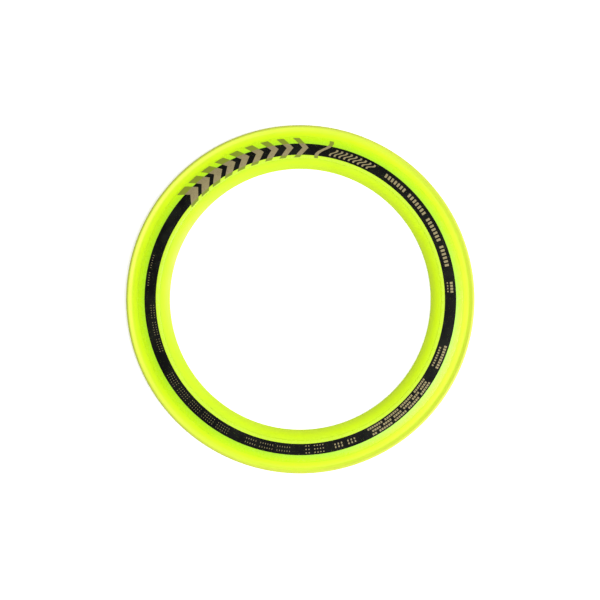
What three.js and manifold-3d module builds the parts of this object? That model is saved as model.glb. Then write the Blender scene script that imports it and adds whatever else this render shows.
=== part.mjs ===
// A flying ring for lawn games: a thin, round aerofoil that is thrown flat and spinning.
//
// It is moulded in two shots and then printed:
//   core_ring     the hard polycarbonate backbone, crowned on top, with a tongue along each edge
//   outer_bumper  soft rubber moulded over the outer tongue, with the raised spoiler lip
//   inner_bumper  soft rubber moulded over the inner tongue, where the fingers catch it
//   print_band    the black foil band stamped round the top of the core
// The tongues have slots all the way round. Rubber fills them, so each bumper is pegged to the core
// as well as bonded to it.
//
// Millimetres, +Z up. The origin is the centre of the ring, on the plane that it lies on.

import * as THREE from 'three';
import { mergeVertices } from 'three/addons/utils/BufferGeometryUtils.js';
import Module from 'manifold-3d';

// Overall size.
const OUTER_RADIUS = 127; // a ten-inch ring
const INNER_RADIUS = 95; // with an opening three quarters as wide
const CROWN_HEIGHT = 3.4; // the thickest place, under the printed band

// The crown: the top of the core is an arc about a point far below it.
const CROWN_RADIUS = 109.3; // how far out the crest of the crown lies
const CROWN_CURVE = 74;

// Where the hard core shows between the two bumpers.
const CORE_INNER = 102.5;
const CORE_OUTER = 118.5;
const CORE_UNDERSIDE = 0.25; // the bumpers stand this much below it, so the ring lies on rubber

// The tongue that each bumper is moulded over.
const TONGUE_BOTTOM = 0.8;
const TONGUE_TOP = 2;
const OUTER_TONGUE_END = 122.4;
const INNER_TONGUE_END = 98.9;

// The slots in the tongues, and the rubber pegs that fill them.
const SLOT_WIDTH = 2;
const SLOT_LENGTH = 9;
const PEG_GAP = 0.1; // round each peg
const PEG_ROOT = 0.2; // how far a peg runs into the rubber above and below its tongue
const OUTER_SLOTS = { count: 24, radius: 120.5 };
const INNER_SLOTS = { count: 24, radius: 100.2 };

// The outer rubber levels out into a crease, and the spoiler lip rises from that.
const LEVELLING_RADIUS = 120; // where the slope turns from the crown's to the crease's
const CREASE = new THREE.Vector2(122.8, 2.45); // the foot of the lip, on its inner side
const LIP_ROUND = 1.6;
const LIP_TOP = 3.3;
const OUTER_HEEL = 1.2; // the rounding between the outer wall and the underside

// The rounded inner edge.
const NOSE_ROUND = 0.6;

// The chamfer between each bumper's underside and the core.
const FOOT_CHAMFER = 0.8;

// The printed band.
const BAND_INNER = 105.2;
const BAND_OUTER = 113.4;
const FOIL_GAP = 0.04; // between the foil and the core
const FOIL = 0.12;

// Fineness.
const TURN_STEPS = 96; // steps in a full turn
const ARC_STEPS = 2; // three.js doubles this on a circular arc
const CROWN_STEPS = 4; // across the core
const BAND_STEPS = 2; // across the band
const SAME_PLACE = 1e-4; // points nearer than this are one point

const STRAIGHT_DOWN = -Math.PI / 2; // the way from a circle's centre to its lowest point

const wasm = await Module();
wasm.setup();

// The height of the core's crowned top at a radius.
function crownHeight(radius) {
  const out = radius - CROWN_RADIUS;
  return CROWN_HEIGHT - CROWN_CURVE + Math.sqrt(CROWN_CURVE ** 2 - out ** 2);
}

// How steeply the crown rises with the radius.
function crownSlope(radius) {
  const out = radius - CROWN_RADIUS;
  return -out / Math.sqrt(CROWN_CURVE ** 2 - out ** 2);
}

// Points along the crown between two radii, lifted by a height.
function crownPoints(from, to, steps, lift = 0) {
  const points = [];
  for (let i = 0; i <= steps; i += 1) {
    const radius = THREE.MathUtils.lerp(from, to, i / steps);
    points.push(new THREE.Vector2(radius, crownHeight(radius) + lift));
  }
  return points;
}

// A closed section, drawn with the radius to the right and the height up, turned about the Z axis.
// The section runs anticlockwise, so that the faces point out.
function turned(section) {
  const closed = [...section, section[0].clone()];
  const geometry = new THREE.LatheGeometry(closed, TURN_STEPS);
  return geometry.rotateX(Math.PI / 2);
}

// three.js geometry as a manifold-3d solid.
function toSolid(geometry) {
  const bare = geometry.clone().deleteAttribute('normal').deleteAttribute('uv');
  const merged = mergeVertices(bare, SAME_PLACE);
  return new wasm.Manifold(new wasm.Mesh({
    numProp: 3,
    vertProperties: merged.attributes.position.array,
    triVerts: new Uint32Array(merged.index.array),
  }));
}

// A manifold-3d solid as three.js geometry.
function toGeometry(solid) {
  const mesh = solid.getMesh();
  const geometry = new THREE.BufferGeometry();
  geometry.setAttribute('position', new THREE.BufferAttribute(mesh.vertProperties, mesh.numProp));
  geometry.setIndex(new THREE.BufferAttribute(mesh.triVerts, 1));
  geometry.computeVertexNormals();
  return geometry;
}

// One block for each slot in a tongue: spaced round the ring, square to the radius.
// A positive gap makes it smaller on its four upright sides.
function slotBlocks({ count, radius }, gap, bottom, top) {
  const blocks = [];
  for (let i = 0; i < count; i += 1) {
    const block = new THREE.BoxGeometry(SLOT_WIDTH - 2 * gap, SLOT_LENGTH - 2 * gap, top - bottom);
    block.translate(radius, 0, (bottom + top) / 2);
    block.rotateZ((i / count) * 2 * Math.PI);
    blocks.push(toSolid(block));
  }
  return blocks;
}

// The pegs reach a little past both faces of the tongue, into the rubber.
function pegs(slots) {
  return slotBlocks(slots, PEG_GAP, TONGUE_BOTTOM - PEG_ROOT, TONGUE_TOP + PEG_ROOT);
}

function coreRing() {
  const section = [
    new THREE.Vector2(CORE_INNER, CORE_UNDERSIDE),
    new THREE.Vector2(CORE_OUTER, CORE_UNDERSIDE),
    new THREE.Vector2(CORE_OUTER, TONGUE_BOTTOM),
    new THREE.Vector2(OUTER_TONGUE_END, TONGUE_BOTTOM),
    new THREE.Vector2(OUTER_TONGUE_END, TONGUE_TOP),
    new THREE.Vector2(CORE_OUTER, TONGUE_TOP),
    ...crownPoints(CORE_OUTER, CORE_INNER, CROWN_STEPS),
    new THREE.Vector2(CORE_INNER, TONGUE_TOP),
    new THREE.Vector2(INNER_TONGUE_END, TONGUE_TOP),
    new THREE.Vector2(INNER_TONGUE_END, TONGUE_BOTTOM),
    new THREE.Vector2(CORE_INNER, TONGUE_BOTTOM),
  ];
  let solid = toSolid(turned(section));
  const holes = (slots) => slotBlocks(slots, 0, CORE_UNDERSIDE, CROWN_HEIGHT);
  for (const hole of [...holes(OUTER_SLOTS), ...holes(INNER_SLOTS)]) {
    solid = solid.subtract(hole);
  }
  return toGeometry(solid);
}

// How far round a circle a line from the point touches it, on the upper side.
function touchAngle(centre, radius, point) {
  const reach = point.clone().sub(centre);
  return reach.angle() - Math.acos(radius / reach.length());
}

function outerBumper() {
  const lipCentre = new THREE.Vector2(OUTER_RADIUS - LIP_ROUND, LIP_TOP - LIP_ROUND);
  const outline = new THREE.Path();
  outline.moveTo(CORE_OUTER, CORE_UNDERSIDE);
  outline.lineTo(CORE_OUTER + FOOT_CHAMFER, 0);
  outline.lineTo(OUTER_RADIUS - OUTER_HEEL, 0);
  outline.absarc(OUTER_RADIUS - OUTER_HEEL, OUTER_HEEL, OUTER_HEEL, STRAIGHT_DOWN, 0);
  outline.lineTo(OUTER_RADIUS, lipCentre.y);
  const lipEnd = touchAngle(lipCentre, LIP_ROUND, CREASE);
  outline.absarc(lipCentre.x, lipCentre.y, LIP_ROUND, 0, lipEnd);
  outline.lineTo(CREASE.x, CREASE.y);
  const seamTop = crownHeight(CORE_OUTER);
  const levelling = seamTop + (LEVELLING_RADIUS - CORE_OUTER) * crownSlope(CORE_OUTER);
  outline.quadraticCurveTo(LEVELLING_RADIUS, levelling, CORE_OUTER, seamTop);
  outline.lineTo(CORE_OUTER, TONGUE_TOP);
  outline.lineTo(OUTER_TONGUE_END, TONGUE_TOP);
  outline.lineTo(OUTER_TONGUE_END, TONGUE_BOTTOM);
  outline.lineTo(CORE_OUTER, TONGUE_BOTTOM);
  let solid = toSolid(turned(outline.getPoints(ARC_STEPS)));
  for (const peg of pegs(OUTER_SLOTS)) {
    solid = solid.add(peg);
  }
  return toGeometry(solid);
}

// The top rolls over from the crown to the nose in one arc. It touches the crown at the seam and the
// nose at its other end, and that settles its radius and its centre.
function innerRoll(noseCentre) {
  const seam = new THREE.Vector2(CORE_INNER, crownHeight(CORE_INNER));
  const upright = new THREE.Vector2(-crownSlope(CORE_INNER), 1).normalize();
  const span = seam.clone().sub(noseCentre);
  const radius = (span.lengthSq() - NOSE_ROUND ** 2) / (2 * (upright.dot(span) - NOSE_ROUND));
  const centre = seam.clone().addScaledVector(upright, -radius);
  const toNose = noseCentre.clone().sub(centre);
  return { radius, centre, start: upright.angle(), end: toNose.angle() };
}

function innerBumper() {
  const noseCentre = new THREE.Vector2(INNER_RADIUS + NOSE_ROUND, NOSE_ROUND);
  const roll = innerRoll(noseCentre);
  const outline = new THREE.Path();
  outline.absarc(roll.centre.x, roll.centre.y, roll.radius, roll.start, roll.end);
  outline.absarc(noseCentre.x, noseCentre.y, NOSE_ROUND, roll.end, STRAIGHT_DOWN);
  outline.lineTo(CORE_INNER - FOOT_CHAMFER, 0);
  outline.lineTo(CORE_INNER, CORE_UNDERSIDE);
  outline.lineTo(CORE_INNER, TONGUE_BOTTOM);
  outline.lineTo(INNER_TONGUE_END, TONGUE_BOTTOM);
  outline.lineTo(INNER_TONGUE_END, TONGUE_TOP);
  outline.lineTo(CORE_INNER, TONGUE_TOP);
  let solid = toSolid(turned(outline.getPoints(ARC_STEPS)));
  for (const peg of pegs(INNER_SLOTS)) {
    solid = solid.add(peg);
  }
  return toGeometry(solid);
}

// The foil follows the crown.
function printBand() {
  return turned([
    ...crownPoints(BAND_INNER, BAND_OUTER, BAND_STEPS, FOIL_GAP),
    ...crownPoints(BAND_OUTER, BAND_INNER, BAND_STEPS, FOIL_GAP + FOIL),
  ]);
}

const PLASTIC = new THREE.MeshStandardMaterial({ color: 0xd2f51e, roughness: 0.25, metalness: 0 });
const RUBBER = new THREE.MeshStandardMaterial({ color: 0xe0fb23, roughness: 0.5, metalness: 0 });
const FOIL_BLACK = new THREE.MeshStandardMaterial({ color: 0x14180f, roughness: 0.4, metalness: 0 });

const ring = new THREE.Group();
ring.name = 'flying_ring';

function addPart(name, geometry, material) {
  const mesh = new THREE.Mesh(geometry, material);
  mesh.name = name;
  ring.add(mesh);
}

addPart('core_ring', coreRing(), PLASTIC);
addPart('outer_bumper', outerBumper(), RUBBER);
addPart('inner_bumper', innerBumper(), RUBBER);
addPart('print_band', printBand(), FOIL_BLACK);

export default ring;
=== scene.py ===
# %% [markdown]
# # A flying ring
#
# A flying ring is a thin round wing that is thrown flat and spinning. The real one is moulded in two
# shots: a hard fluorescent core, then soft rubber along both of its edges. A black foil band is
# stamped round the top, and tan foil marks are stamped over that.
#
# The CAD model settles the sizes. This lesson loads it, measures it, and builds a fine version of
# each of its pieces, because a ring turned in 96 steps shows its corners in the gloss.

# %% Load the frame
import math

import bmesh
import bpy
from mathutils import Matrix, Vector


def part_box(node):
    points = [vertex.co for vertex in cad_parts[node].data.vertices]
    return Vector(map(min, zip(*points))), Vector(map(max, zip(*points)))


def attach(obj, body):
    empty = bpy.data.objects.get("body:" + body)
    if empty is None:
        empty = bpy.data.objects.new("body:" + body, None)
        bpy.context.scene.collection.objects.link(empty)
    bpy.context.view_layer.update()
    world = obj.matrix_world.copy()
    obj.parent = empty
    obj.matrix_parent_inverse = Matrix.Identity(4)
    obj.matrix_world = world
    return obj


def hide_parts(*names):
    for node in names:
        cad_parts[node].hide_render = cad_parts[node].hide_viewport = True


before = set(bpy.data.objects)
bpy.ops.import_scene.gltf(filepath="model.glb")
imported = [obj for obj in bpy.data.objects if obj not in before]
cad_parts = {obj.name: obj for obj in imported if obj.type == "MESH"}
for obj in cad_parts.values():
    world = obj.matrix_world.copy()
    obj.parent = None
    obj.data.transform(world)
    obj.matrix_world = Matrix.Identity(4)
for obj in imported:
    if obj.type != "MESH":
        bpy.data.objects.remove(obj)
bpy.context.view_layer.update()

MM = 0.001

# %% [markdown]
# ## Measure the frame
#
# A turned piece is known by its radii and its heights. A node's points give both, so each seam below
# lies exactly where the CAD puts it. Measuring is safer than repeating numbers: when the CAD changes,
# the looks follow it.

# %% Read the radii and the heights
def radii(node):
    """Smallest and largest distance of a CAD node's points from the ring's axis."""
    reaches = [vertex.co.xy.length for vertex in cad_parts[node].data.vertices]
    return min(reaches), max(reaches)


CORE_OUTER, OUTER_RADIUS = radii("outer_bumper")
INNER_RADIUS, CORE_INNER = radii("inner_bumper")
INNER_TONGUE_END, OUTER_TONGUE_END = radii("core_ring")
BAND_INNER, BAND_OUTER = radii("print_band")
CORE_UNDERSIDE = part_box("core_ring")[0].z
LIP_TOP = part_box("outer_bumper")[1].z

for name, length in {"ring": OUTER_RADIUS, "opening": INNER_RADIUS, "band": BAND_OUTER}.items():
    print(f"{name} is {2 * length / MM:.1f} mm across")

# %% [markdown]
# ## The crown
#
# The top of the core is an arc about a point far below it, the same all the way round. One function
# gives its height at any radius. The core, the foil band and every printed mark ask it, so they all
# lie on the same surface without any fitting.

# %% The height of the crown
CREST_RADIUS = 109.3 * MM
CREST_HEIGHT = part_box("core_ring")[1].z
CROWN_CURVE = 74 * MM


def crown(radius, lift=0.0):
    """Height of the crowned top at a radius, raised by a lift."""
    out = radius - CREST_RADIUS
    return CREST_HEIGHT - CROWN_CURVE + math.sqrt(CROWN_CURVE**2 - out**2) + lift


def crown_slope(radius):
    """How steeply the crown rises with the radius."""
    out = radius - CREST_RADIUS
    return -out / math.sqrt(CROWN_CURVE**2 - out**2)


def spread(start, end, steps):
    """Evenly spaced values from start to end."""
    return [start + (end - start) * step / steps for step in range(steps + 1)]


def crown_points(start, end, steps, lift=0.0):
    """Points of a section along the crown."""
    return [Vector((radius, crown(radius, lift))) for radius in spread(start, end, steps)]


print(f"the crown falls {(CREST_HEIGHT - crown(CORE_OUTER)) / MM:.2f} mm to the outer seam")

# %% [markdown]
# ## Sections with soft corners
#
# A mould has no perfectly sharp corner, and it is the small rounding that catches the light. A section
# is written here as corners of (radius, height, rounding). Each corner becomes a short curve that
# leaves one edge and joins the next. A Bevel modifier could do it on the finished mesh, but on a
# section it is exact and costs no extra faces elsewhere.

# %% Round the corners of a section
ROUNDING_STEPS = 5


def curve(start, control, end, steps=ROUNDING_STEPS):
    """Points along a curve that leaves start and reaches end, both aiming at the control point."""
    return [
        start.lerp(control, along).lerp(control.lerp(end, along), along)
        for along in spread(0, 1, steps)
    ]


def rounded(corners):
    """An outline from corners of (radius, height, rounding). A rounding of 0 keeps a corner sharp."""
    places = [Vector(corner[:2]) for corner in corners]
    outline = []
    for number, (place, corner) in enumerate(zip(places, corners)):
        before = places[number - 1]
        after = places[(number + 1) % len(places)]
        reach = corner[2]
        if reach == 0:
            outline.append(place)
            continue
        start = place + (before - place).normalized() * reach
        end = place + (after - place).normalized() * reach
        outline += curve(start, place, end)
    return outline


def sharp(points):
    """Points of (radius, height) as corners that stay sharp."""
    return [(*point, 0) for point in points]


def round_point(centre, radius, degrees):
    """A point on a circle in a section."""
    turn = math.radians(degrees)
    return centre + radius * Vector((math.cos(turn), math.sin(turn)))


def direction_of(reach):
    """The direction of a vector in a section, in degrees."""
    return math.degrees(math.atan2(reach.y, reach.x))


# %% [markdown]
# ## Drawing and turning
#
# The lathe is done as by hand: a small plane is merged to one point, the point is extruded from
# corner to corner, and the outline is spun about the Z axis. Spin can leave a seam and turn the faces
# inside out, so the doubles are merged and then the normals are recalculated.

# %% Draw an outline and spin it
TURN_STEPS = 360
SPECK = 0.1 * MM
MERGE = 0.0005 * MM


def at(radius, height, bearing=0.0):
    """A point by its distance from the axis, its height and its bearing in degrees."""
    turn = math.radians(bearing)
    return Vector((radius * math.cos(turn), radius * math.sin(turn), height))


def draw_line(name, points):
    """Extrudes one point along a line of points, and stays in edit mode with all of it selected."""
    bpy.ops.object.select_all(action="DESELECT")
    bpy.ops.mesh.primitive_plane_add(size=SPECK, location=points[0])
    piece = bpy.context.object
    piece.name = name
    bpy.ops.object.mode_set(mode="EDIT")
    bpy.ops.mesh.select_mode(type="VERT")
    bpy.ops.mesh.select_all(action="SELECT")
    bpy.ops.mesh.merge(type="CENTER")
    for here, there in zip(points, points[1:]):
        bpy.ops.mesh.extrude_vertices_move(TRANSFORM_OT_translate={"value": there - here})
    bpy.ops.mesh.select_all(action="SELECT")
    return piece


def spin(degrees, steps, copies=False):
    """Spins what is selected about the ring's axis, clockwise as seen from above."""
    bpy.ops.mesh.spin(
        steps=steps, angle=math.radians(degrees), dupli=copies, center=(0, 0, 0), axis=(0, 0, 1)
    )
    bpy.ops.mesh.select_all(action="SELECT")


def into_place(piece):
    """Leaves edit mode with the piece's place in its mesh and its object at the origin."""
    bpy.ops.object.mode_set(mode="OBJECT")
    bpy.ops.object.transform_apply(location=True, rotation=False, scale=False)
    return piece


def turned(name, outline):
    """A closed outline of (radius, height) points, turned full circle into a solid."""
    piece = draw_line(name, [at(*point) for point in [*outline, outline[0]]])
    bpy.ops.mesh.remove_doubles(threshold=MERGE)
    spin(360, TURN_STEPS)
    bpy.ops.mesh.remove_doubles(threshold=MERGE)
    bpy.ops.mesh.normals_make_consistent(inside=False)
    return into_place(piece)


# %% [markdown]
# ## The hard core
#
# The core is polycarbonate, the part that keeps its shape in the air. Its top is the crown, and its
# underside is flat. Along each edge it thins to a tongue that the rubber is moulded over, and the
# small chamfers beside the tongues are where the two mould halves shut against the plastic. They
# show as hairlines where the two materials meet.

# %% Turn the core
TONGUE_BOTTOM = 0.8 * MM
TONGUE_TOP = 2 * MM
TONGUE_ROUND = 0.25 * MM
SEAM = 0.14 * MM  # the chamfer at each seam
CROWN_STEPS = 24
CROWN_MARGIN = 4 * SEAM  # how far the points of the crown keep from each seam
SLOT_WIDTH = 2 * MM
OUTER_SLOT_RADIUS = 120.5 * MM
INNER_SLOT_RADIUS = 100.2 * MM


def slot_sides(middle):
    """The inner and outer radius of a row of slots."""
    return middle - SLOT_WIDTH / 2, middle + SLOT_WIDTH / 2


def along_tongue(height, radii_in_order):
    """Sharp corners on a tongue, so that the faces of the slots begin and end there."""
    return [(radius, height, 0) for radius in radii_in_order]


outer_slots = slot_sides(OUTER_SLOT_RADIUS)
inner_slots = slot_sides(INNER_SLOT_RADIUS)
core_crown = crown_points(CORE_OUTER - CROWN_MARGIN, CORE_INNER + CROWN_MARGIN, CROWN_STEPS)
core_corners = [
    (CORE_INNER, CORE_UNDERSIDE, SEAM),
    (CORE_OUTER, CORE_UNDERSIDE, SEAM),
    (CORE_OUTER, TONGUE_BOTTOM, 0),
    *along_tongue(TONGUE_BOTTOM, outer_slots),
    (OUTER_TONGUE_END, TONGUE_BOTTOM, TONGUE_ROUND),
    (OUTER_TONGUE_END, TONGUE_TOP, TONGUE_ROUND),
    *along_tongue(TONGUE_TOP, outer_slots[::-1]),
    (CORE_OUTER, TONGUE_TOP, 0),
    (CORE_OUTER, crown(CORE_OUTER), SEAM),
    *sharp(core_crown),
    (CORE_INNER, crown(CORE_INNER), SEAM),
    (CORE_INNER, TONGUE_TOP, 0),
    *along_tongue(TONGUE_TOP, inner_slots[::-1]),
    (INNER_TONGUE_END, TONGUE_TOP, TONGUE_ROUND),
    (INNER_TONGUE_END, TONGUE_BOTTOM, TONGUE_ROUND),
    *along_tongue(TONGUE_BOTTOM, inner_slots),
    (CORE_INNER, TONGUE_BOTTOM, 0),
]
core = turned("hard_core", rounded(core_corners))
print(f"hard_core has {len(core.data.polygons)} faces")

# %% [markdown]
# ## Slots through the tongues
#
# Rubber holds on to plastic far better when it can run right through it, so the real tongues have
# slots. A slot is made by choosing the faces over it and the faces under it and bridging them: the
# faces go, and walls join the two holes. A Boolean would do as well, but this keeps the mesh in plain
# squares. It also makes each slot a whole number of steps long. Five steps come near to the CAD's
# slots, but they lie half a pitch further round than those.

# %% Bridge the slots
SLOT_COUNT = 24
SLOT_LENGTH = 5 * 360 / TURN_STEPS  # degrees: five steps of the turn


def pick(piece):
    """Selects one piece and nothing else."""
    bpy.ops.object.select_all(action="DESELECT")
    bpy.context.view_layer.objects.active = piece
    piece.select_set(True)


def select_faces(mesh, wanted):
    """Selects the faces that a test accepts, in edit mode."""
    for face in mesh.faces:
        face.select_set(wanted(face))
    mesh.select_flush_mode()


def bridge_slots(piece, sides):
    """Opens a row of slots in the core, or sets pegs in a bumper: both join the two tongue faces."""
    pick(piece)
    bpy.ops.object.mode_set(mode="EDIT")
    bpy.ops.mesh.select_mode(type="FACE")
    half = math.radians(SLOT_LENGTH / 2)
    for number in range(SLOT_COUNT):
        middle = at(1, 0, (number + 0.5) * 360 / SLOT_COUNT)

        def over_slot(face):
            centre = face.calc_center_median()
            level = TONGUE_BOTTOM - MERGE < centre.z < TONGUE_TOP + MERGE
            inside = sides[0] < centre.xy.length < sides[1]
            return level and inside and centre.xy.angle(middle.xy) < half

        select_faces(bmesh.from_edit_mesh(piece.data), over_slot)
        bpy.ops.mesh.bridge_edge_loops()
    bpy.ops.mesh.select_all(action="SELECT")
    bpy.ops.mesh.normals_make_consistent(inside=False)
    bpy.ops.object.mode_set(mode="OBJECT")


bridge_slots(core, outer_slots)
bridge_slots(core, inner_slots)
print(f"{2 * SLOT_COUNT} slots, each {SLOT_LENGTH:.0f} degrees long")

# %% [markdown]
# ## Ejector pin marks
#
# Pins push the moulded core out of its steel, and each leaves a shallow round print on the underside.
# Twelve cylinders, joined as one cutter, take them out with a Boolean, which is then applied.

# %% Cut the pin marks
PIN_COUNT = 12
PIN_RADIUS = 2.2 * MM
PIN_DEPTH = 0.12 * MM
PIN_EDGE = PIN_DEPTH / 3  # the rounding of a pin's rim
PIN_FACES = 40


def pin_cutter():
    """A ring of short cylinders that reach just into the underside of the core."""
    bpy.ops.object.select_all(action="DESELECT")
    height = 2 * PIN_DEPTH
    place = at(CREST_RADIUS, CORE_UNDERSIDE)
    bpy.ops.mesh.primitive_cylinder_add(
        vertices=PIN_FACES, radius=PIN_RADIUS, depth=height, location=place
    )
    cutter = bpy.context.object
    bpy.ops.object.mode_set(mode="EDIT")
    bpy.ops.mesh.select_all(action="SELECT")
    bpy.ops.mesh.bevel(offset=PIN_EDGE, segments=2)
    bpy.ops.mesh.select_all(action="SELECT")
    spin(360 - 360 / PIN_COUNT, PIN_COUNT - 1, copies=True)
    return into_place(cutter)


def cut(piece, cutter):
    """Takes the cutter out of the piece and throws the cutter away."""
    pick(piece)
    boolean = piece.modifiers.new("cut", "BOOLEAN")
    boolean.object = cutter
    boolean.operation = "DIFFERENCE"
    bpy.ops.object.modifier_apply(modifier=boolean.name)
    bpy.data.objects.remove(cutter)


cut(core, pin_cutter())
print(f"{PIN_COUNT} pin marks, {2 * PIN_RADIUS / MM:.1f} mm across")

# %% [markdown]
# ## The outer bumper
#
# Soft rubber, moulded over the outer tongue. It levels out from the crown to a crease, and then rises
# into the spoiler lip, the ridge that makes the ring fly level. The lip is a large round on its outer
# side. Its inner side is a straight slope that touches the round, so it shows as a soft dark line
# where it leans away from the light, and the rim shows as one where the round does. The dye over the
# lip and the outer wall is also painted darker, as painted shade of that rim. A fine groove goes
# round the outer wall at half height, the parting line where the two mould halves met.

# %% Turn the outer bumper
LEVELLING_RADIUS = 120 * MM  # where the slope turns from the crown's to the crease's
CREASE = Vector((122.8 * MM, 2.45 * MM))
LIP_ROUND = 1.6 * MM
LIP_STEPS = 12
FAIRING_STEPS = 12
FOOT_CHAMFER = 0.8 * MM
FOOT_ROUND = 0.25 * MM
HEEL_ROUND = 1.2 * MM
CREASE_ROUND = 0.5 * MM
PARTING_HEIGHT = 1.5 * MM
PARTING_DEPTH = 0.07 * MM

lip_centre = Vector((OUTER_RADIUS - LIP_ROUND, LIP_TOP - LIP_ROUND))
to_crease = CREASE - lip_centre
lip_end = direction_of(to_crease) - math.degrees(math.acos(LIP_ROUND / to_crease.length))
lip = [round_point(lip_centre, LIP_ROUND, turn) for turn in spread(0, lip_end, LIP_STEPS)]

outer_seam = Vector((CORE_OUTER + SEAM, crown(CORE_OUTER + SEAM)))
levelling = outer_seam + (LEVELLING_RADIUS - outer_seam.x) * Vector((1, crown_slope(CORE_OUTER)))
before_crease = CREASE + CREASE_ROUND * (levelling - CREASE).normalized()
fairing = curve(before_crease, levelling, outer_seam, FAIRING_STEPS)

outer_corners = [
    (CORE_OUTER, CORE_UNDERSIDE, SEAM),
    (CORE_OUTER + FOOT_CHAMFER, 0, FOOT_ROUND),
    (OUTER_RADIUS, 0, HEEL_ROUND),
    (OUTER_RADIUS, PARTING_HEIGHT - PARTING_DEPTH, 0),
    (OUTER_RADIUS - PARTING_DEPTH, PARTING_HEIGHT, 0),
    (OUTER_RADIUS, PARTING_HEIGHT + PARTING_DEPTH, 0),
    *sharp(lip),
    (*CREASE, CREASE_ROUND),
    *sharp(fairing),
    (CORE_OUTER, crown(CORE_OUTER) - SEAM, 0),
    (CORE_OUTER, TONGUE_TOP, 0),
    *along_tongue(TONGUE_TOP, outer_slots),
    (OUTER_TONGUE_END, TONGUE_TOP, TONGUE_ROUND),
    (OUTER_TONGUE_END, TONGUE_BOTTOM, TONGUE_ROUND),
    *along_tongue(TONGUE_BOTTOM, outer_slots[::-1]),
    (CORE_OUTER, TONGUE_BOTTOM, 0),
]
outer_bumper = turned("soft_outer_bumper", rounded(outer_corners))
bridge_slots(outer_bumper, outer_slots)
print(f"the lip stands {(LIP_TOP - CREASE.y) / MM:.2f} mm above its crease")

# %% [markdown]
# ## The inner bumper
#
# The same rubber along the inner edge, where the fingers catch the ring. Its top rolls over from the
# crown to a small round nose in one arc. The arc touches the crown at the seam and the nose at its
# other end, so there is no kink at either, and those two touches settle its radius.

# %% Turn the inner bumper
NOSE_ROUND = 0.6 * MM
NOSE_STEPS = 14
ROLL_STEPS = 16
UNDERNEATH = 270  # degrees round the nose, where it rests

inner_seam = Vector((CORE_INNER - SEAM, crown(CORE_INNER - SEAM)))
upright = Vector((-crown_slope(CORE_INNER), 1)).normalized()
nose_centre = Vector((INNER_RADIUS + NOSE_ROUND, NOSE_ROUND))
span = inner_seam - nose_centre
roll_radius = (span.length_squared - NOSE_ROUND**2) / (2 * (upright.dot(span) - NOSE_ROUND))
roll_centre = inner_seam - roll_radius * upright
roll_start, roll_end = direction_of(upright), direction_of(nose_centre - roll_centre)
roll_turns = spread(roll_start, roll_end, ROLL_STEPS)
roll = [round_point(roll_centre, roll_radius, turn) for turn in roll_turns]
nose_turns = spread(roll_end, UNDERNEATH, NOSE_STEPS)[1:]
nose = [round_point(nose_centre, NOSE_ROUND, turn) for turn in nose_turns]
inner_corners = [
    *sharp([*roll, *nose]),
    (CORE_INNER - FOOT_CHAMFER, 0, 0),
    (CORE_INNER - SEAM, CORE_UNDERSIDE - SEAM / 4, 0),
    (CORE_INNER, CORE_UNDERSIDE + SEAM, 0),
    (CORE_INNER, TONGUE_BOTTOM, 0),
    *along_tongue(TONGUE_BOTTOM, inner_slots[::-1]),
    (INNER_TONGUE_END, TONGUE_BOTTOM, 0),
    (INNER_TONGUE_END, TONGUE_TOP, 0),
    *along_tongue(TONGUE_TOP, inner_slots),
    (CORE_INNER, TONGUE_TOP, 0),
    (CORE_INNER, crown(CORE_INNER) - SEAM, 0),
]
inner_bumper = turned("soft_inner_bumper", rounded(inner_corners))
bridge_slots(inner_bumper, inner_slots)
print(f"the top rolls over on a radius of {roll_radius / MM:.1f} mm")

# %% [markdown]
# ## The foil band
#
# Hot stamping presses a foil on to the crown, so the band is a thin skin that follows it. It is turned
# as a section of two parallel lines, one just inside the plastic and one just above it, and its edges
# are closed, so it is a solid and not a sheet.

# %% Turn the foil band
FOIL = 0.05 * MM
BAND_STEPS = 10
band_outline = [
    *crown_points(BAND_INNER, BAND_OUTER, BAND_STEPS, -FOIL / 2),
    *crown_points(BAND_OUTER, BAND_INNER, BAND_STEPS, FOIL),
]
band = turned("black_foil_band", band_outline)
print(f"the foil stands {FOIL / MM:.2f} mm proud")

# %% [markdown]
# ## Printed marks
#
# The tan marks are a second foil, stamped over the band and past its edges. The real ones are a name
# and small print, so these are plain ornament of the same size in the same places: chevrons, slanted
# strokes and rows of dashes.
#
# Each mark is a line drawn across the crown and spun through a few degrees. Every point keeps its
# radius as it turns, so a mark lies on the crown by itself. Copies are spun too. Foil thickness comes
# from a Solidify modifier.

# %% Draw a mark
MARK_LIFT = 0.09 * MM
MARK_THICKNESS = 0.07 * MM
MARK_STEP = 1.0  # degrees of turn between the points of a mark


def stroke(name, line, width, copies=0, pitch=0.0):
    """A line of (radius, bearing) points spun to a width in degrees, with copies after it, clockwise."""
    points = [at(radius, crown(radius, MARK_LIFT), bearing) for radius, bearing in line]
    mark = draw_line(name, points)
    spin(width, max(1, round(width / MARK_STEP)))
    bpy.ops.mesh.flip_normals()
    if copies:
        spin(copies * pitch, copies, copies=True)
    into_place(mark)
    solid = mark.modifiers.new("foil", "SOLIDIFY")
    solid.thickness = MARK_THICKNESS
    bpy.ops.object.modifier_apply(modifier=solid.name)
    return mark


def joined(name, marks):
    """Several marks as one piece."""
    bpy.ops.object.select_all(action="DESELECT")
    for mark in marks:
        mark.select_set(True)
    bpy.context.view_layer.objects.active = marks[0]
    bpy.ops.object.join()
    marks[0].name = name
    return marks[0]


# %% [markdown]
# ## Chevrons
#
# The boldest mark. Each chevron is a line that goes out to its point and back, and each is narrower
# than the one before, so the row seems to speed up as the ring spins.

# %% Print the chevrons
BOLD_INNER = 103.4 * MM
BOLD_OUTER = 117.5 * MM
CHEVRON_COUNT = 9
CHEVRON_START = 139.8
CHEVRON_PITCH = 5.9
CHEVRON_POINT = 3.4  # degrees from the chevron's ends to its point
CHEVRON_WIDTHS = (4.1, 2.3)  # degrees, the first and the last
CHEVRON_STEPS = 12


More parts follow.
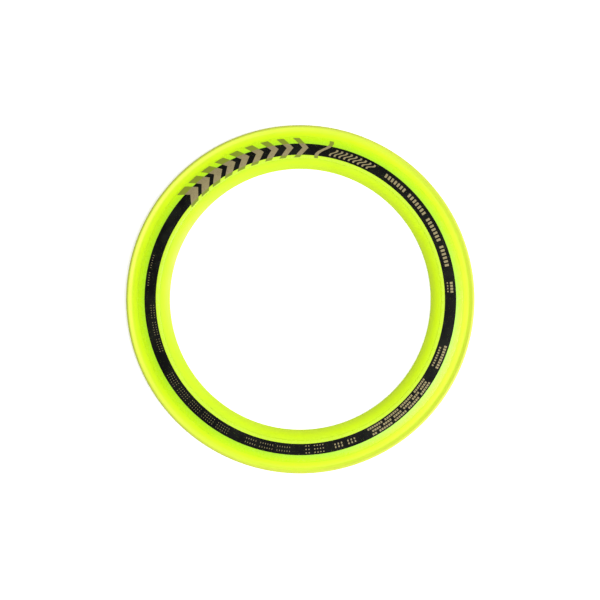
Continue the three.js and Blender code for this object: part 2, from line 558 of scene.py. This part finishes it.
def chevron(number):
    """One chevron of the row, counted clockwise."""
    start = CHEVRON_START - number * CHEVRON_PITCH
    first, last = CHEVRON_WIDTHS
    width = first + (last - first) * number / (CHEVRON_COUNT - 1)
    line = []
    for across in spread(0, 1, CHEVRON_STEPS):
        radius = BOLD_INNER + (BOLD_OUTER - BOLD_INNER) * across
        line.append((radius, start - CHEVRON_POINT * (1 - abs(2 * across - 1))))
    return stroke(f"chevron_{number}", line, width)


chevrons = joined("bold_chevrons", [chevron(number) for number in range(CHEVRON_COUNT)])
print(f"{CHEVRON_COUNT} chevrons from {CHEVRON_START} degrees")

# %% [markdown]
# ## Slanted strokes
#
# A flourish follows the chevrons: curved strokes like a row of blown grass. The first is tall and runs
# off the band on both sides.

# %% Print the flourish
LEAN_STEPS = 8
TALL_OUTER = 117.2 * MM
TALL_WIDTH = 1.5
SHORT_INNER = 106.5 * MM
SHORT_OUTER = 111.8 * MM
SHORT_COUNT = 9
SHORT_WIDTH = 0.75
SHORT_PITCH = 1.9


def leaning_line(inner, outer, bearing, lean, sway):
    """A line across the band that leans clockwise as it goes out, with a sway like a flat S."""
    line = []
    for along in spread(0, 1, LEAN_STEPS):
        radius = inner + (outer - inner) * along
        line.append((radius, bearing - lean * along + sway * math.sin(2 * math.pi * along)))
    return line


tall_line = leaning_line(BOLD_INNER, TALL_OUTER, bearing=84.4, lean=5.0, sway=1.0)
short_line = leaning_line(SHORT_INNER, SHORT_OUTER, bearing=78.8, lean=2.4, sway=0.5)
tall_stroke = stroke("tall_stroke", tall_line, TALL_WIDTH)
short_strokes = stroke("short_strokes", short_line, SHORT_WIDTH, SHORT_COUNT - 1, SHORT_PITCH)
flourish = joined("slanted_flourish", [tall_stroke, short_strokes])
print(f"1 tall stroke and {SHORT_COUNT} short ones")

# %% [markdown]
# ## Rows of dashes
#
# The small print is rows of short dashes. A row is given as how far in and out it reaches, where it
# starts and ends, and how wide and how far apart its dashes are. A loop spins one dash along the row
# and leaves a gap after every few, so that they fall into groups as words do.

# %% Print a row of dashes
def dashes(name, inner, outer, start, end, width, pitch, group):
    """Groups of dashes between two radii in mm, clockwise from one bearing in degrees to another."""
    made = []
    bearing = start
    while bearing - width > end:
        fits = int((bearing - width - end) / pitch)
        copies = min(group - 1, fits)
        line = [(inner * MM, bearing), ((inner + outer) / 2 * MM, bearing), (outer * MM, bearing)]
        made.append(stroke(f"{name}_{len(made)}", line, width, copies, pitch))
        bearing -= (group + 1) * pitch
    return made


def print_block(name, rows):
    """Rows of dashes as one piece. A row is what dashes takes after the name, in the same order."""
    made = [mark for number, row in enumerate(rows) for mark in dashes(f"{name}_{number}", *row)]
    return joined(name, made)


# Each row: inner and outer radius, first and last bearing, width and pitch, dashes in a group.
BLOCKS = {
    "long_row": [(107.9, 110.9, 55.6, 12.5, 0.85, 1.45, 7)],
    "small_badge": [(109.4, 111.4, 6.6, 1.9, 0.8, 1.1, 5), (107.1, 108.0, 6.6, 1.9, 0.5, 1.1, 5)],
    "short_block": [
        (110.1, 112.1, 342.2, 333.0, 0.7, 1.05, 9),
        (106.9, 108.3, 341.2, 333.0, 0.6, 1.05, 8),
    ],
    "dense_block": [
        (111.0, 112.4, 327.3, 297.5, 0.72, 0.98, 6),
        (108.6, 110.0, 326.8, 296.9, 0.72, 0.98, 4),
        (106.2, 107.6, 327.3, 296.9, 0.72, 0.98, 7),
    ],
    "paired_row": [
        (109.9, 111.2, 291.5, 281.8, 0.5, 1.3, 3),
        (107.8, 109.1, 291.5, 281.8, 0.5, 1.3, 3),
    ],
    "sparse_block": [
        (111.4, 112.2, 279.0, 271.6, 0.4, 1.1, 4),
        (108.9, 109.7, 279.0, 271.6, 0.4, 1.1, 4),
        (106.4, 107.2, 279.0, 271.6, 0.4, 1.1, 4),
    ],
}
blocks = [print_block(name, rows) for name, rows in BLOCKS.items()]
print(f"{len(blocks)} blocks of dashes")

# %% [markdown]
# ## Faint rows
#
# On the far side of the ring the print is fine and sparse, and the dark band shows through most of it.
# The dashes there are hair-thin, so that they only tint the band.

# %% Print the faint rows
FAINT_DASHES = (0.2, 0.95, 6)  # width, pitch and dashes in a group
FAINT_BLOCKS = {
    "faint_south": [(110.4, 111.4, 266.0, 248.2), (107.5, 108.5, 266.0, 248.2)],
    "faint_south_west": [
        (111.0, 111.6, 241.3, 208.4),
        (109.1, 109.7, 241.3, 208.4),
        (107.2, 107.8, 241.3, 208.4),
    ],
    "faint_west": [
        (108.5, 109.1, 200.5, 181.5),
        (106.5, 107.1, 200.5, 181.5),
        (110.8, 111.7, 174.8, 162.5),
    ],
}
for name, rows in FAINT_BLOCKS.items():
    blocks.append(print_block(name, [(*row, *FAINT_DASHES) for row in rows]))
print(f"{len(blocks)} blocks in all")

# %% [markdown]
# ## Smooth shading
#
# A turned piece is smooth round the ring and across its curves, and crisp only at real corners.
# Shading by angle keeps both.

# %% Shade the pieces
CRISP_ANGLE = 35

marks = [chevrons, flourish, *blocks]
pieces = [core, outer_bumper, inner_bumper, band, *marks]
for piece in pieces:
    pick(piece)
    bpy.ops.object.shade_smooth_by_angle(angle=math.radians(CRISP_ANGLE))
print(f"{len(pieces)} pieces shaded")

# %% [markdown]
# ## Small helpers for materials
#
# A material is a little network of nodes. These helpers add a node, set its sockets by name and join
# it up, so that each material below reads as a recipe.

# %% Node helpers
NOISE_MIDDLE = (0.3, 0.7)  # nearly all of a noise lies between these


class Recipe:
    """A material with its nodes, made one line at a time."""

    def __init__(self, name):
        self.material = bpy.data.materials.new(name)
        self.material.use_nodes = True
        self.nodes = self.material.node_tree.nodes
        self.links = self.material.node_tree.links
        self.shader = self.nodes["Principled BSDF"]
        self.place = self.nodes.new("ShaderNodeTexCoord").outputs["Object"]

    def add(self, kind, sockets=None, **settings):
        """A node with its settings and its input sockets, each a value or a socket to link from."""
        node = self.nodes.new(kind)
        for key, value in settings.items():
            setattr(node, key, value)
        for key, value in (sockets or {}).items():
            self.set(node, key, value)
        return node

    def set(self, node, key, value):
        """Links a socket, or sets a plain value."""
        if isinstance(value, bpy.types.NodeSocket):
            self.links.new(value, node.inputs[key])
        else:
            node.inputs[key].default_value = value

    def finish(self, **sockets):
        """Sets the shader's own sockets, named with underscores for spaces."""
        for key, value in sockets.items():
            self.set(self.shader, key.replace("_", " ").title().replace("Ior", "IOR"), value)

    def radius(self):
        """The distance of a point from the ring's axis."""
        flat = self.add("ShaderNodeVectorMath", {0: self.place, 1: (1, 1, 0)}, operation="MULTIPLY")
        return self.add("ShaderNodeVectorMath", {0: flat.outputs[0]}, operation="LENGTH").outputs["Value"]

    def noise(self, scale, detail=3.0, roughness=0.5, place=None):
        """The value of a noise, which is finer the larger its scale is."""
        sockets = {"Vector": place or self.place, "Scale": scale, "Detail": detail, "Roughness": roughness}
        return self.add("ShaderNodeTexNoise", sockets).outputs["Fac"]

    def remap(self, value, low, high, to_low=0.0, to_high=1.0):
        """A value stretched from one range to another and held at its ends."""
        sockets = {"Value": value, "From Min": low, "From Max": high, "To Min": to_low, "To Max": to_high}
        return self.add("ShaderNodeMapRange", sockets).outputs["Result"]

    def wander(self, noise, low, high):
        """A noise turned into values that wander between low and high."""
        return self.remap(noise, *NOISE_MIDDLE, low, high)

    def blend(self, amount, first, second, blend_type="MIX"):
        """A mix of two colours, from the first at 0 to the second at 1."""
        node = self.add("ShaderNodeMix", data_type="RGBA", blend_type=blend_type)
        self.set(node, 0, amount)
        self.set(node, 6, first)
        self.set(node, 7, second)
        return node.outputs[2]

    def ramp(self, value, stops):
        """Colours along a value: stops are (value, colour) in order."""
        low, high = stops[0][0], stops[-1][0]
        node = self.add("ShaderNodeValToRGB", {"Fac": self.remap(value, low, high)})
        elements = node.color_ramp.elements
        elements[0].color, elements[1].color = (*stops[0][1], 1), (*stops[-1][1], 1)
        for stop, colour in stops[1:-1]:
            elements.new((stop - low) / (high - low)).color = (*colour, 1)
        return node.outputs["Color"]

    def math(self, operation, first, second):
        """One sum on two values."""
        return self.add("ShaderNodeMath", {0: first, 1: second}, operation=operation).outputs[0]

    def bump(self, height, strength, distance, normal=None):
        """A normal that tilts as if the surface rose with the height."""
        sockets = {"Height": height, "Strength": strength, "Distance": distance}
        if normal is not None:
            sockets["Normal"] = normal
        return self.add("ShaderNodeBump", sockets).outputs["Normal"]


# %% [markdown]
# ## The fluorescent dye, with painted shade
#
# The same dye is in the plastic and the rubber. It glows yellow-green, and yellower out in the rubber.
# Beside the band, most on its outer side, the colour is darker and greener: painted shade of the black
# band in the translucent plastic. At the nose, over the lip and down the outer wall it is darker and
# duller: painted shade of edges that lean away from the light. It could be painted by hand, but a ramp
# along the radius is the same all the way round, as the ring is. A slow noise and a fast one lie over
# it, for the flow of the melt.

# %% Colours along the radius
# Painted shade: the nose, the lip and the outer wall are darker and duller than the dye, and the plastic
# beside the band darker and greener, most on its outer side.
NOSE_SHADE_YELLOW = (0.50, 0.66, 0.03)
CATCH_YELLOW = (0.57, 0.80, 0.006)
INSIDE_BAND = (0.54, 0.79, 0.012)
SHADED_OUTSIDE_BAND = (0.39, 0.72, 0.020)
CORE_YELLOW = (0.50, 0.82, 0.008)
RIM_YELLOW = (0.65, 0.90, 0.006)
LIP_SHADE_YELLOW = (0.65, 0.80, 0.05)
WALL_SHADE_OLIVE = (0.47, 0.51, 0.06)
SLOW_CLOUDS = (0.95, 1.0)  # how much they darken the dye
FAST_CLOUDS = (0.975, 1.0)

# The dye's colours along the radius, painted shade at the band and the edges included.
DYE_AND_SHADE_STOPS = [
    (INNER_RADIUS, NOSE_SHADE_YELLOW),
    (CORE_INNER - 3 * MM, CATCH_YELLOW),
    (BAND_INNER, INSIDE_BAND),
    (BAND_OUTER, SHADED_OUTSIDE_BAND),
    (BAND_OUTER + 3 * MM, CORE_YELLOW),
    (CORE_OUTER + 2 * MM, RIM_YELLOW),
    (OUTER_RADIUS - 2.6 * MM, LIP_SHADE_YELLOW),
    (OUTER_RADIUS, WALL_SHADE_OLIVE),
]


def dye_and_shade_colour(recipe):
    """The ramp of the dye along the radius, with its painted shade, and slow and fast clouds over it."""
    colour = recipe.ramp(recipe.radius(), DYE_AND_SHADE_STOPS)
    slow = recipe.wander(recipe.noise(scale=28, detail=2), *SLOW_CLOUDS)
    fast = recipe.wander(recipe.noise(scale=900, detail=2), *FAST_CLOUDS)
    clouds = recipe.math("MULTIPLY", slow, fast)
    return recipe.blend(1.0, colour, clouds, "MULTIPLY")


# %% [markdown]
# ## Scratches
#
# A ring that is thrown and caught gets fine scratches. Each could be drawn, but a noise stretched far
# in one direction has long thin ridges, and only the tops of them are kept.

# %% Scratch in one direction
HAIR_LENGTH = 40  # how many times as long as wide
HAIR_DEPTH = 10  # how many times as deep as wide
HAIR_EDGE = 0.06  # how softly its sides fade


def scratches(recipe, turn, scale, threshold):
    """Thin marks in one direction: a noise stretched until only hairs are above the threshold."""
    stretch = (scale, scale / HAIR_LENGTH, scale / HAIR_DEPTH)
    sockets = {"Vector": recipe.place, "Rotation": (0, 0, turn), "Scale": stretch}
    stretched = recipe.add("ShaderNodeMapping", sockets).outputs["Vector"]
    hairs = recipe.noise(scale=1.0, detail=1, roughness=0.3, place=stretched)
    return recipe.remap(hairs, threshold, threshold + HAIR_EDGE)


# %% [markdown]
# ## The core's plastic
#
# Polycarbonate is glossy, with scratches two ways across it where it has worn. Some light goes in and
# comes out beside where it went in, which is what subsurface scattering does. Seen from below, the
# black band and its shade through the core are painted on as a soft dark ring, and height and radius
# say where that is.

# %% Mix the core's plastic
POLYCARBONATE_IOR = 1.58
CORE_ROUGHNESS = (0.24, 0.3)
SCUFF_DULLING = 0.12  # how much rougher a scuff is
# How far light spreads inside the core and the rubber, most in red and least in blue.
LIGHT_SPREAD = {
    "subsurface_weight": 0.2,
    "subsurface_radius": (1.0, 0.9, 0.15),
    "subsurface_scale": 1.2 * MM,
}
# The band's painted shade on the underside of the core: how far it spreads, its colour and its strength.
BAND_SHADE_SPREAD = 1.0 * MM  # how far the dark of the band spreads in the plastic
BAND_SHADE_COLOUR = (0.17, 0.26, 0.008)
BAND_SHADE_STRENGTH = 0.6


def band_shade_from_below(recipe):
    """How strongly the band's painted shade shows, from 0 on the top to its full strength underneath."""
    radius = recipe.radius()
    past_inner = recipe.remap(radius, BAND_INNER - BAND_SHADE_SPREAD, BAND_INNER + BAND_SHADE_SPREAD)
    short_of_outer = recipe.remap(radius, BAND_OUTER + BAND_SHADE_SPREAD, BAND_OUTER - BAND_SHADE_SPREAD)
    height = recipe.add("ShaderNodeSeparateXYZ", {"Vector": recipe.place}).outputs["Z"]
    below = recipe.remap(height, TONGUE_TOP, TONGUE_BOTTOM, 0.0, BAND_SHADE_STRENGTH)
    return recipe.math("MULTIPLY", recipe.math("MULTIPLY", past_inner, short_of_outer), below)


def core_plastic():
    """Glossy plastic with worn patches of scratches and the band's painted shadow underneath."""
    recipe = Recipe("fluorescent_polycarbonate")
    # Painted shade: the band's dark ring underneath is mixed into the dye's colour.
    colour = recipe.blend(band_shade_from_below(recipe), dye_and_shade_colour(recipe), (*BAND_SHADE_COLOUR, 1))
    one_way = scratches(recipe, turn=0.5, scale=4200, threshold=0.66)
    other_way = scratches(recipe, turn=2.1, scale=3600, threshold=0.67)
    worn = recipe.remap(recipe.noise(scale=60, detail=3), low=0.45, high=0.65)
    scuffs = recipe.math("MULTIPLY", recipe.math("MAXIMUM", one_way, other_way), worn)
    polish = recipe.wander(recipe.noise(scale=220, detail=3), *CORE_ROUGHNESS)
    ripple = recipe.bump(recipe.noise(scale=130, detail=2), strength=0.05, distance=0.2 * MM)
    recipe.finish(
        base_color=colour,
        roughness=recipe.math("ADD", polish, recipe.math("MULTIPLY", scuffs, SCUFF_DULLING)),
        ior=POLYCARBONATE_IOR,
        normal=recipe.bump(scuffs, strength=0.3, distance=-0.01 * MM, normal=ripple),
        **LIGHT_SPREAD,
    )
    return recipe.material


# %% [markdown]
# ## The rubber
#
# The rubber has the same dye, with the same painted shade at the nose, the lip and the outer wall,
# and the same spread of light. It is satin, not glossy: its mould is etched with a fine grain, and
# fingers leave smears on it. Both are noises, one fine and one slow.

# %% Mix the rubber
RUBBER_ROUGHNESS = (0.36, 0.5)
RUBBER_SPECULAR = 0.3


def edge_rubber():
    """Satin rubber with a fine grain, slow smears and the dye's painted shade at its edges."""
    recipe = Recipe("fluorescent_rubber")
    grain = recipe.noise(scale=5200, detail=2)
    smears = recipe.noise(scale=75, detail=4)
    soft_waves = recipe.bump(smears, strength=0.04, distance=0.3 * MM)
    recipe.finish(
        # The base colour carries the painted shade of the nose, the lip and the outer wall.
        base_color=dye_and_shade_colour(recipe),
        roughness=recipe.wander(smears, *RUBBER_ROUGHNESS),
        specular_ior_level=RUBBER_SPECULAR,
        normal=recipe.bump(grain, strength=0.12, distance=0.02 * MM, normal=soft_waves),
        **LIGHT_SPREAD,
    )
    return recipe.material


# %% [markdown]
# ## Foils
#
# Black foil is satin, with a faint crinkle from the stamp and pinholes that let the plastic through.
# The tan foil is a thin metallic ink. Over black it looks tan, and where it runs off the band on to
# the yellow, the plastic shines through and turns it olive. The radius says which is which.

# %% The two foils
PINHOLE = (0.30, 0.45, 0.02)
FOIL_BLACK = (0.004, 0.004, 0.004)
FOIL_WORN = (0.010, 0.011, 0.008)
FOIL_ROUGHNESS = (0.28, 0.4)
FOIL_SPECULAR = 0.05
TAN = (0.30, 0.25, 0.12)
TAN_WORN = (0.20, 0.165, 0.075)
OLIVE = (0.19, 0.24, 0.008)
TAN_ROUGHNESS = (0.4, 0.58)
TAN_METAL = 0.35
EDGE_BLUR = 0.15 * MM


def black_foil():
    """Satin black with a faint crinkle, worn patches and pinholes."""
    recipe = Recipe("black_stamped_foil")
    wear = recipe.remap(recipe.noise(scale=90, detail=4, roughness=0.6), low=0.42, high=0.68)
    colour = recipe.blend(wear, (*FOIL_BLACK, 1), (*FOIL_WORN, 1))
    pinholes = recipe.remap(recipe.noise(scale=3800, detail=1), low=0.745, high=0.765)
    recipe.finish(
        base_color=recipe.blend(pinholes, colour, (*PINHOLE, 1)),
        roughness=recipe.wander(recipe.noise(scale=300, detail=3), *FOIL_ROUGHNESS),
        specular_ior_level=FOIL_SPECULAR,
        normal=recipe.bump(recipe.noise(scale=700, detail=3), strength=0.10, distance=0.02 * MM),
    )
    return recipe.material


def tan_foil():
    """Metallic tan on the band and flat olive off it."""
    recipe = Recipe("tan_stamped_foil")
    radius = recipe.radius()
    past_inside = recipe.remap(radius, BAND_INNER + EDGE_BLUR, BAND_INNER - EDGE_BLUR)
    past_outside = recipe.remap(radius, BAND_OUTER - EDGE_BLUR, BAND_OUTER + EDGE_BLUR)
    off_band = recipe.math("MAXIMUM", past_inside, past_outside)
    wear = recipe.remap(recipe.noise(scale=1300, detail=4, roughness=0.7), low=0.5, high=0.66)
    tan = recipe.blend(wear, (*TAN, 1), (*TAN_WORN, 1))
    recipe.finish(
        base_color=recipe.blend(off_band, tan, (*OLIVE, 1)),
        roughness=recipe.wander(recipe.noise(scale=600, detail=2), *TAN_ROUGHNESS),
        metallic=recipe.remap(off_band, 0, 1, TAN_METAL, 0),
        normal=recipe.bump(recipe.noise(scale=2400, detail=2), strength=0.08, distance=0.01 * MM),
    )
    return recipe.material


# %% [markdown]
# ## Dress the pieces
#
# Each piece gets its material and rides on the ring's one body, and the CAD node it stands for is
# hidden. The marks stand for no node: in the CAD the foil band speaks for all of the print.

# %% Give each piece its material and its body
def dress(piece, material, node=None):
    """Gives a piece its finish, hangs it on the ring's body and hides the CAD node it stands for."""
    piece.data.materials.clear()
    piece.data.materials.append(material)
    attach(piece, "root")
    if node:
        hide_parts(node)


rubber = edge_rubber()
tan_material = tan_foil()
dress(core, core_plastic(), "core_ring")
dress(outer_bumper, rubber, "outer_bumper")
dress(inner_bumper, rubber, "inner_bumper")
dress(band, black_foil(), "print_band")
for mark in marks:
    dress(mark, tan_material)
print(f"{len(pieces)} pieces ride on the ring")

# %% [markdown]
# ## The floor
#
# A plain pale floor, wide enough to reach the horizon from a low camera, with a trace of tooth. It
# glows a little, like a sheet of white acrylic lit from beneath, so that the ring's own shadow stays
# light.

# %% Lay the floor
FLOOR_WIDTH = 60.0
FLOOR_GLOW = 0.45
FLOOR_COOL = (0.90, 0.90, 0.90, 1)
FLOOR_WARM = (0.93, 0.93, 0.92, 1)
FLOOR_ROUGHNESS = (0.75, 0.85)


def floor_paint():
    recipe = Recipe("pale_floor")
    cloud = recipe.noise(scale=3, detail=2)
    recipe.finish(
        base_color=recipe.blend(cloud, FLOOR_COOL, FLOOR_WARM),
        roughness=recipe.wander(cloud, *FLOOR_ROUGHNESS),
        emission_color=(1, 1, 1, 1),
        emission_strength=FLOOR_GLOW,
    )
    return recipe.material


bpy.ops.object.select_all(action="DESELECT")
bpy.ops.mesh.primitive_plane_add(size=FLOOR_WIDTH, location=(0, 0, 0))
floor = bpy.context.object
floor.name = "floor"
floor.data.materials.append(floor_paint())

# %% [markdown]
# ## Light
#
# One large soft light stands to the right, and a pale sky, dim overhead and bright at the horizon,
# fills in from all round. The dim top keeps the colour deep where the ring faces straight up. A small
# light almost overhead turns every slope that leans its way pale, which is what shows the crown.

# %% Hang the lights
LIGHT_DISTANCE = 3.0
# Each light's bearing and tilt from straight up in degrees, its size in metres and its power.
LIGHTS = {
    "key_light": (-20, 48, 1.8, 110),
    "crown_light": (-32, 13, 0.9, 14),
}
SKY_HORIZON = (0.93, 0.93, 0.93, 1)
SKY_TOP = (0.03, 0.03, 0.03, 1)
HORIZON_UP_TO = 0.35  # heights in the sky, from 0 at the horizon to 1 overhead
TOP_FROM = 0.9


def hang_light(name, bearing, tilt, size, power):
    """A round soft light that hangs at a fixed distance and faces the ring."""
    lean = math.radians(tilt)
    place = at(LIGHT_DISTANCE * math.sin(lean), LIGHT_DISTANCE * math.cos(lean), bearing)
    bpy.ops.object.light_add(type="AREA", location=place)
    light = bpy.context.object
    light.name = name
    light.data.shape = "DISK"
    light.data.size = size
    light.data.energy = power
    light.rotation_euler = (-place).to_track_quat("-Z", "Y").to_euler()


def paint_sky():
    """A sky that dims from the horizon to overhead."""
    world = bpy.data.worlds.new("studio")
    bpy.context.scene.world = world
    world.use_nodes = True
    nodes, links = world.node_tree.nodes, world.node_tree.links
    direction = nodes.new("ShaderNodeTexCoord")
    height = nodes.new("ShaderNodeSeparateXYZ")
    ramp = nodes.new("ShaderNodeValToRGB")
    horizon, top = ramp.color_ramp.elements
    horizon.position, horizon.color = HORIZON_UP_TO, SKY_HORIZON
    top.position, top.color = TOP_FROM, SKY_TOP
    links.new(direction.outputs["Generated"], height.inputs[0])
    links.new(height.outputs["Z"], ramp.inputs["Fac"])
    links.new(ramp.outputs["Color"], nodes["Background"].inputs["Color"])
    nodes["Background"].inputs["Strength"].default_value = 1.0


for name, settings in LIGHTS.items():
    hang_light(name, *settings)
paint_sky()
bpy.context.scene.view_settings.view_transform = "Standard"

# %% [markdown]
# ## The camera
#
# The camera looks straight down on the ring with a long lens, so its edges stay true circles.

# %% Set the camera
CAMERA_HEIGHT = 1.034
CAMERA_ASIDE = (-0.00026, -0.00047)
LENS = 85
bpy.ops.object.camera_add(location=(*CAMERA_ASIDE, CAMERA_HEIGHT), rotation=(0, 0, 0))
camera = bpy.context.object
camera.data.lens = LENS
bpy.context.scene.camera = camera
